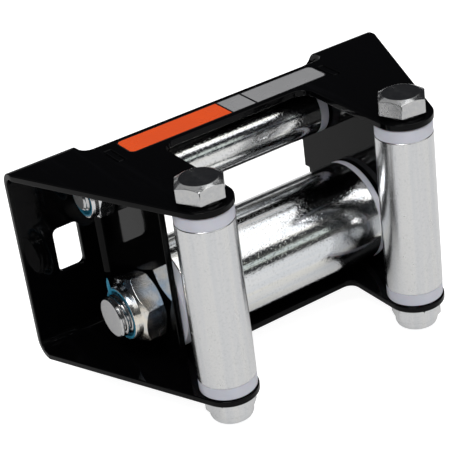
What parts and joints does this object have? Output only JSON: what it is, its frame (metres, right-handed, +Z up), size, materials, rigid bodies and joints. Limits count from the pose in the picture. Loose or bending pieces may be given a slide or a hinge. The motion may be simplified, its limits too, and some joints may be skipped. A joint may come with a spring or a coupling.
{
  "type": "roller fairlead",
  "caption": "Bent sheet-steel winch fairlead with horizontal and vertical zinc-plated rollers that spin on their bolts.",
  "frame": {"origin": "on the mounting face, midway between the two mounting slots", "axes": "+X along the horizontal rollers, +Y into the surface it is bolted to, so the rope leaves towards -Y, +Z up"},
  "size_m": [0.1614, 0.0813, 0.0953],
  "materials": {
    "black_coat": "gloss black powder coat",
    "zinc_plate": "zinc plated, bright with a drawn grain",
    "nylon": "natural nylon, satin",
    "blue_nylon": "blue nylon, semi-gloss"
  },
  "bodies": {
    "frame": {"frame": "black_coat", "side_plate_left": "black_coat", "side_plate_right": "black_coat", "lower_bolt": "zinc_plate", "lower_nut": "zinc_plate", "lower_nut_ring": "blue_nylon", "upper_bolt": "zinc_plate", "upper_nut": "zinc_plate", "upper_nut_ring": "blue_nylon", "vertical_left_bolt": "zinc_plate", "vertical_left_nut": "zinc_plate", "vertical_left_nut_ring": "blue_nylon", "vertical_right_bolt": "zinc_plate", "vertical_right_nut": "zinc_plate", "vertical_right_nut_ring": "blue_nylon"},
    "lower_roller": {"lower_roller": "zinc_plate", "lower_bush_right": "nylon", "lower_bush_left": "nylon"},
    "upper_roller": {"upper_roller": "zinc_plate", "upper_bush_right": "nylon", "upper_bush_left": "nylon"},
    "vertical_left_roller": {"vertical_left_roller": "zinc_plate", "vertical_left_bush_top": "nylon", "vertical_left_bush_bottom": "nylon"},
    "vertical_right_roller": {"vertical_right_roller": "zinc_plate", "vertical_right_bush_top": "nylon", "vertical_right_bush_bottom": "nylon"}
  },
  "joints": [
    {"name": "lower_roller_spin", "type": "hinge", "parent": "frame", "child": "lower_roller", "pos_m": [0, -0.0333, -0.01555], "axis": [1, 0, 0], "continuous": true},
    {"name": "upper_roller_spin", "type": "hinge", "parent": "frame", "child": "upper_roller", "pos_m": [0, -0.0117, 0.02205], "axis": [1, 0, 0], "continuous": true},
    {"name": "vertical_left_roller_spin", "type": "hinge", "parent": "frame", "child": "vertical_left_roller", "pos_m": [-0.0424, -0.0704, 0], "axis": [0, 0, 1], "continuous": true},
    {"name": "vertical_right_roller_spin", "type": "hinge", "parent": "frame", "child": "vertical_right_roller", "pos_m": [0.0424, -0.0704, 0], "axis": [0, 0, 1], "continuous": true}
  ]
}
